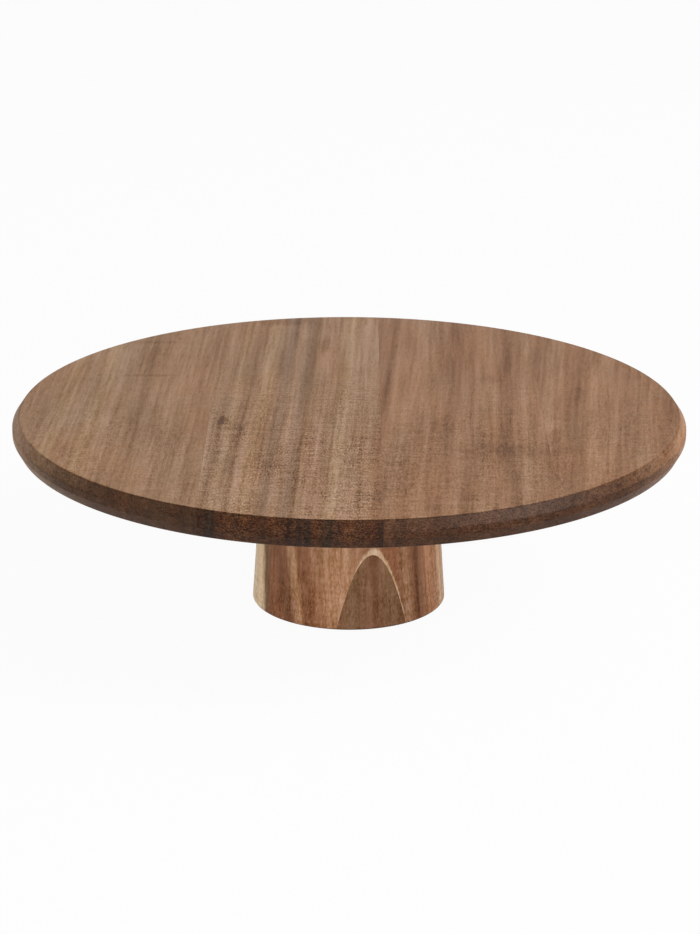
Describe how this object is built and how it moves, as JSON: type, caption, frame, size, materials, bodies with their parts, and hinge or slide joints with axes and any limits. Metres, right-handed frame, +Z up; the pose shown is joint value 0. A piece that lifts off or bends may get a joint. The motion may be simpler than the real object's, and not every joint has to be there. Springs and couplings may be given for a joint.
{
  "type": "cake stand",
  "caption": "Round wooden cake stand: a chamfered edge-glued plate that screws onto a low tapered pedestal turned from glued boards, for showing and serving a cake.",
  "frame": {"origin": "on the turning axis, on the table that the stand is put on", "axes": "+Z up along the turning axis, +Y away from the front along the plate's grain, +X across the grain to the right"},
  "size_m": [0.3, 0.3, 0.0905],
  "materials": {
    "plate_wood": "oiled satin",
    "pedestal_wood": "oiled satin",
    "insert_brass": "machined",
    "bolt_steel": "zinc plated",
    "washer_rubber": "matt",
    "pad_felt": "pressed felt"
  },
  "bodies": {
    "pedestal": {"pedestal_board_1": "pedestal_wood", "pedestal_board_2": "pedestal_wood", "pedestal_board_3": "pedestal_wood", "pedestal_board_4": "pedestal_wood", "hanger_bolt": "bolt_steel", "base_pad_1": "pad_felt", "base_pad_2": "pad_felt", "base_pad_3": "pad_felt", "base_pad_4": "pad_felt"},
    "washer": {"seat_washer": "washer_rubber"},
    "plate": {"plate_board_1": "plate_wood", "plate_board_2": "plate_wood", "plate_board_3": "plate_wood", "plate_board_4": "plate_wood", "threaded_insert": "insert_brass"}
  },
  "joints": [
    {"name": "plate_unscrew", "type": "hinge", "parent": "pedestal", "child": "washer", "pos_m": [0, 0, 0.0782], "axis": [0, 0, 1], "range_deg": [0, 2340]},
    {"name": "plate_rise", "type": "slide", "parent": "washer", "child": "plate", "axis": [0, 0, 1], "range_m": [0, 0.00813]}
  ],
  "couplings": [
    {"joint": "plate_rise", "follows": "plate_unscrew", "m_per_rad": 0.00019894}
  ]
}
